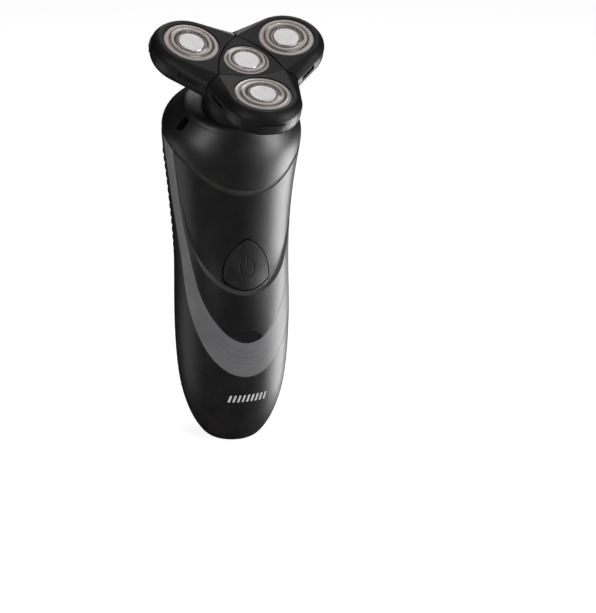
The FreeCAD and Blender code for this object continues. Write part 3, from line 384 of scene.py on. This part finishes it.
grip_rubber = rubber("grip_rubber", tone(24, 24, 25), tone(38, 37, 36))
seal_rubber = rubber("seal_rubber", tone(38, 39, 32), tone(56, 58, 45), rough=0.5)
neck_plastic = satin("neck_plastic", tone(26, 26, 27), tone(36, 36, 37), rough=0.33, grain=0.012)
plain_steel = polished("plain_steel", tone(186, 184, 180), 0.28)
# Painted shade: the cutters and retainers under the guards get a darker steel than the plain steel.
shaded_cutter_steel = polished("shaded_cutter_steel", tone(120, 117, 113), 0.35)
can_steel = polished("can_steel", tone(176, 176, 172), 0.32)
acetal = satin("acetal", tone(206, 204, 190), tone(226, 224, 212), rough=0.42, grain=0.01)
inner_plastic = satin("inner_plastic", tone(120, 121, 118), tone(148, 148, 144), rough=0.45, grain=0.02)
tan_plastic = satin("tan_plastic", tone(182, 168, 132), tone(202, 190, 154), rough=0.45, grain=0.02)
cell_wrap = satin("cell_wrap", tone(36, 96, 62), tone(48, 116, 76), rough=0.26, grain=0.006)
board_green = satin("board_green", tone(22, 74, 40), tone(30, 92, 52), rough=0.3, grain=0.01)
switch_plastic = satin("switch_plastic", tone(34, 34, 34), tone(46, 46, 46), rough=0.4, grain=0.01)
led_plastic = satin("led_plastic", tone(140, 190, 140), tone(168, 212, 168), rough=0.25, grain=0.004)
laminations = polished("laminations", tone(122, 98, 74), 0.45)
mark_paint = satin(
    "mark_paint", tone(200, 200, 200), tone(222, 222, 222), rough=0.5, grain=0.004, edge=0.05)


def smoked_lens():
    """A dark clear window with a faint haze of moulding marks."""
    graph = Graph("smoked_lens")
    rounded, _ = graph.soft_edge(0.15 * MM)
    haze = graph.noise(520.0, 4.0, 0.6)
    colour = graph.mix(haze, tone(26, 27, 28), tone(42, 43, 44))
    return graph.finish(
        Base_Color=colour, Roughness=graph.span(haze, 0.3, 0.7, 0.08, 0.16),
        Normal=graph.bump(haze, 0.01 * MM, rounded), Coat_Weight=0.6, Coat_Roughness=0.05,
    )


def follow_line(graph, height, points, low, high, near, far):
    """Return the depth of a side line at a height, from a curve through its points."""
    node = graph.add("ShaderNodeFloatCurve", {"Value": graph.span(height, low, high, 0.0, 1.0)})
    curve = node.mapping.curves[0]
    places = [((up - low) / (high - low), (depth - near) / (far - near)) for depth, up in points]
    for index, place in enumerate(places):
        if index < 2:
            curve.points[index].location = place if index == 0 else places[-1]
        else:
            curve.points.new(*places[index - 1])
    node.mapping.update()
    return graph.span(node.outputs[0], 0.0, 1.0, near, far)


def trim_finish():
    """Warm grey trim, with fine grooves that run along its curve from edge to edge, painted darker as
    shade in them.

    Its inner and outer edges are given as (depth, height) in millimetres, as the CAD has them.
    """
    graph = Graph("trim_grey")
    low, high, near, far = 20 * MM, 140 * MM, -30 * MM, 6 * MM
    inner = [(-28, 33.5), (-22.9, 46.2), (-19.3, 55.2), (-14.7, 66), (-10, 81.8), (-7, 95.5), (-6.4, 105),
             (-7.2, 116), (-8.6, 138)]
    outer = [(-28, 19.5), (-22.1, 31.5), (-17.6, 40.5), (-11.8, 54.5), (-8, 66), (-4.5, 80.4),
             (-1.6, 92.5), (-0.2, 102), (0, 116), (0.4, 138)]
    split = graph.add("ShaderNodeSeparateXYZ", {0: graph.place})
    lines = []
    for line in (inner, outer):
        points = [(depth * MM, up * MM) for depth, up in line]
        lines.append(follow_line(graph, split.outputs[2], points, low, high, near, far))
    wide = graph.math("SUBTRACT", lines[1], lines[0])
    across = graph.math("DIVIDE", graph.math("SUBTRACT", split.outputs[1], lines[0]), wide)
    rings = graph.math("SINE", graph.math("MULTIPLY", across, 2 * math.pi * 6))
    groove_and_shade = graph.span(rings, 0.8, 0.98, 0.0, 1.0)
    for fade in (graph.span(across, 0.02, 0.2, 0.3, 1.0), graph.span(across, 0.5, 0.8, 1.0, 0.25)):
        groove_and_shade = graph.math("MULTIPLY", groove_and_shade, fade)
    rounded, _ = graph.soft_edge(0.2 * MM)
    speck = graph.noise(2400.0, 3.0, 0.6)
    mottle = graph.noise(90.0, 3.0)
    colour = graph.mix(graph.span(mottle, 0.3, 0.7, 0.0, 1.0), tone(113, 112, 114), tone(124, 123, 125))
    # Painted shade: the grooves are mixed towards a dark grey.
    colour = graph.mix(graph.math("MULTIPLY", groove_and_shade, 0.35), colour, tone(70, 70, 72))
    height = graph.math("SUBTRACT", graph.math("MULTIPLY", speck, 0.15), groove_and_shade)
    return graph.finish(
        Base_Color=colour, Roughness=graph.span(speck, 0.3, 0.7, 0.42, 0.54), Metallic=0.1,
        Specular_IOR_Level=0.25,
        Normal=graph.bump(height, 0.03 * MM, rounded),
    )


lens_finish = smoked_lens()
trim_grey = trim_finish()
guard_steel = turned_metal(
    "guard_steel", face=tone(190, 189, 190), light=tone(178, 170, 167), dark=tone(132, 122, 118),
    face_radius=4.9)

FINISHES = {
    "lower_housing": lower_plastic, "front_panel": panel_plastic, "trim_band": trim_grey,
    "indicator_lens": lens_finish, "back_grip": grip_rubber, "shoulder_housing": shoulder_plastic,
    "shoulder_seal": seal_rubber, "neck_seal": seal_rubber, "button_gasket": seal_rubber,
    "neck_ring": neck_plastic, "power_button": button_plastic, "motor_screws": plain_steel,
    "inlet_pins": plain_steel, "motor_can": can_steel, "motor_end_cap": tan_plastic,
    "motor_armature": laminations, "drive_coupling": acetal, "battery_cell": cell_wrap,
    "chassis": inner_plastic, "circuit_board": board_green, "tactile_switch": switch_plastic,
    "indicator_led": led_plastic, "charging_inlet": inlet_plastic, "head_base": pod_under,
    "gear_cover": inner_plastic, "centre_cap": cap_plastic, "retainer_centre": shaded_cutter_steel,
    "cutter_centre": shaded_cutter_steel, "centre_gear": acetal, "guard_centre": guard_steel,
}
for pod in PODS:
    FINISHES.update({
        f"pod_lid_{pod}": pod_plastic, f"pod_base_{pod}": pod_under, f"release_tab_{pod}": tab_plastic,
        f"hinge_pin_{pod}": plain_steel, f"hinge_spring_{pod}": plain_steel,
        f"guard_{pod}": guard_steel, f"retainer_{pod}": shaded_cutter_steel, f"cutter_{pod}": shaded_cutter_steel,
        f"pod_gear_{pod}": acetal,
    })
for node, finish in FINISHES.items():
    paint(node, finish)


# ---------------------------------------------------------------- shaving guards

# (radius, top, bottom) from the middle outwards, in millimetres from the guard's own face level
POD_GUARD = [
    (0.0, -0.15, -0.65), (2.4, -0.14, -0.65), (4.6, -0.15, -0.65), (4.72, -0.15, -1.5), (4.9, -0.17, -1.5),
    (5.04, -0.28, -1.5), (5.18, -0.52, -1.5), (5.32, -0.58, -1.5), (5.7, -0.52, -1.5), (6.1, -0.38, -1.5),
    (6.28, -0.29, -1.5), (6.4, -0.22, -1.25), (6.6, -0.1, -0.78), (6.9, 0.03, -0.5), (7.2, 0.08, -0.43),
    (7.45, 0.1, -0.4), (7.8, 0.06, -0.44), (8.15, -0.04, -0.58), (8.42, -0.2, -0.85), (8.6, -0.33, -1.1),
    (8.72, -0.42, -1.1), (9.0, -0.43, -1.1), (9.12, -0.34, -0.98), (9.3, -0.29, -0.82), (9.8, -0.24, -0.8),
    (10.2, -0.29, -0.82), (10.46, -0.36, -2.6), (10.8, -0.47, -2.6), (10.93, -0.56, -2.6),
    (10.96, -0.76, -2.6), (11.23, -0.76, -2.6),
]
CENTRE_GUARD = [
    (0.0, -0.1, -0.6), (2.4, -0.09, -0.6), (4.6, -0.1, -0.6), (4.74, -0.1, -1.3), (4.92, -0.12, -1.3),
    (5.04, -0.22, -1.3), (5.15, -0.42, -1.3), (5.3, -0.46, -1.3), (5.65, -0.36, -1.3), (5.8, -0.26, -1.3),
    (5.95, -0.16, -0.88), (6.2, -0.03, -0.52), (6.5, 0.04, -0.46), (6.9, 0.05, -0.45), (7.2, -0.05, -0.6),
    (7.45, -0.17, -0.7), (7.7, -0.3, -0.8), (8.2, -0.33, -0.84), (8.36, -0.35, -2.6), (8.6, -0.39, -2.6),
    (8.82, -0.5, -2.6), (8.86, -0.76, -2.6), (9.09, -0.76, -2.6),
]


def ring_at(rings, radius):
    """Return the number of the ring nearest to a radius."""
    return min(range(len(rings)), key=lambda number: abs(rings[number][0] - radius))


def cut_rings(rings, spans):
    """Return the ring numbers and sectors of slots given by their radii."""
    return [(ring_at(rings, low), ring_at(rings, high), sectors) for low, high, sectors in spans]


def local_frame(origin, out, up):
    """Return the matrix of a frame whose Z is up and whose X is as near as can be to out."""
    up = Vector(up).normalized()
    side = up.cross(Vector(out)).normalized()
    out = side.cross(up)
    return Matrix.Translation(Vector(origin)) @ Matrix((out, side, up)).transposed().to_4x4()


def build_guards():
    """Replace the plain guards with ones whose slots are cut through."""
    cuts = cut_rings(POD_GUARD, ((5.32, 6.9, COARSE), (8.15, 9.12, FINE)))
    for pod in PODS:
        spin = JOINTS["spin_" + pod]
        hinge = JOINTS["tilt_" + pod]
        out = Vector(hinge["axis"]).cross(Vector(spin["axis"]))
        place = local_frame(spin["pos_m"], out, spin["axis"])
        mesh = slotted_disc("slotted_guard_" + pod, POD_GUARD, cuts, count=40)
        piece = new_piece("slotted_guard_" + pod, mesh, "pod_" + pod, guard_steel, place)
        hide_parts("guard_" + pod)
    spin = JOINTS["centre_spin"]
    place = local_frame(spin["pos_m"], (1, 0, 0), spin["axis"])
    cuts = cut_rings(CENTRE_GUARD, ((5.3, 6.2, COARSE), (7.2, 8.2, FINE)))
    mesh = slotted_disc("slotted_guard_centre", CENTRE_GUARD, cuts, count=34)
    piece = new_piece("slotted_guard_centre", mesh, "head", guard_steel, place)
    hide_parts("guard_centre")


build_guards()


# ---------------------------------------------------------------- printed mark


def build_mark():
    """Print a row of leaning bars low on the front, where a name would be."""
    tree = surface_of("lower_housing")
    low, high = 20.5 * MM, 23.6 * MM
    left, right, count = -7.8 * MM, 7.0 * MM, 9
    pitch = (right - left) / (count - 1)
    lean = 0.9 * MM
    width = 0.85 * MM
    for number in range(count):
        start = left + pitch * number
        corners = [(start, low), (start + width, low), (start + width + lean, high), (start + lean, high)]
        printed_bar(f"mark_bar_{number}", tree, corners, 0.03 * MM, "handle", mark_paint)


build_mark()


# ---------------------------------------------------------------- camera, floor and light


def build_camera():
    """Set the camera where the shaver was seen from, above its left front."""
    place = Vector((-219.4, -698.2, 298.0)) * MM
    right = Vector((0.9432, -0.3320, 0.0091)).normalized()
    up = Vector((0.0966, 0.3006, 0.9489))
    back = right.cross(up).normalized()
    up = back.cross(right)
    data = bpy.data.cameras.new("camera")
    data.lens = 111.06
    data.sensor_width = 36.0
    data.clip_start = 0.01
    camera = bpy.data.objects.new("camera", data)
    bpy.context.scene.collection.objects.link(camera)
    camera.matrix_world = Matrix.Translation(place) @ Matrix((right, up, back)).transposed().to_4x4()
    bpy.context.scene.camera = camera


def soft_light(name, place, target, size, power, gloss_only=False):
    """Hang a rectangular soft light and aim it at a point. Some are seen only in reflections."""
    data = bpy.data.lights.new(name, "AREA")
    data.shape = "RECTANGLE"
    data.size, data.size_y = size
    data.energy = power
    light = bpy.data.objects.new(name, data)
    bpy.context.scene.collection.objects.link(light)
    light.location = place
    light.visible_camera = False
    light.visible_diffuse = not gloss_only
    light.rotation_euler = (Vector(target) - Vector(place)).to_track_quat("-Z", "Y").to_euler()


def build_floor():
    """Lay a wide pale floor under the foot."""
    work = bmesh.new()
    bmesh.ops.create_grid(work, x_segments=8, y_segments=8, size=6.0)
    mesh = bpy.data.meshes.new("floor")
    work.to_mesh(mesh)
    work.free()
    graph = Graph("floor_white")
    cloud = graph.noise(3.0, 3.0)
    colour = graph.mix(cloud, (0.93, 0.93, 0.93, 1.0), (0.96, 0.96, 0.96, 1.0))
    mesh.materials.append(graph.finish(
        Base_Color=colour, Roughness=0.9, Specular_IOR_Level=0.1,
        Emission_Color=(0.9, 0.9, 0.9, 1.0), Emission_Strength=1.0,
    ))
    floor = bpy.data.objects.new("floor", mesh)
    floor.location = (0, 0, CAD_BOX[0].z)
    floor.visible_glossy = False
    floor.visible_shadow = False
    bpy.context.scene.collection.objects.link(floor)


def build_world():
    """Surround the scene with even white."""
    world = bpy.data.worlds.new("studio")
    world.use_nodes = True
    sky = world.node_tree.nodes["Background"]
    sky.inputs["Color"].default_value = (1.0, 1.0, 1.0, 1.0)
    sky.inputs["Strength"].default_value = 1.0
    world.cycles_visibility.glossy = False
    world.cycles_visibility.diffuse = False
    bpy.context.scene.world = world


build_camera()
build_floor()
build_world()
middle = (CAD_BOX[0] + CAD_BOX[1]) / 2
soft_light("overhead", middle + Vector((0.25, 0.2, 0.8)), middle, (0.6, 0.6), 1.2)
soft_light("ceiling", (0, -0.2, 1.6), middle, (2.5, 2.5), 2.6)
soft_light("sky_panel", (0, -0.2, 1.5), middle, (2.5, 2.5), 6.0, gloss_only=True)
soft_light("front_fill", (0.3, -0.8, 0.75), middle, (0.5, 0.5), 2.2)
soft_light("right_box", (0.36, 0.02, -0.09), (0, 0, 0.06), (0.30, 0.19), 2.0, gloss_only=True)
soft_light("left_box", (-0.40, 0.16, -0.10), (0, 0, 0.08), (0.30, 0.20), 0.25, gloss_only=True)
soft_light("right_strip", (0.40, -0.30, 0.17), (0, 0, 0.12), (0.18, 0.30), 2.6, gloss_only=True)
soft_light("left_strip", (-0.40, -0.31, 0.23), (0, 0, 0.12), (0.15, 0.30), 0.9, gloss_only=True)
soft_light("back_left", (0.065, 0.37, 0.465), (0, -0.02, 0.16), (0.16, 0.16), 0.45, gloss_only=True)
soft_light("back_right", (0.21, 0.395, 0.345), (0, -0.02, 0.16), (0.16, 0.16), 0.45, gloss_only=True)
bpy.context.scene.view_settings.view_transform = "Standard"
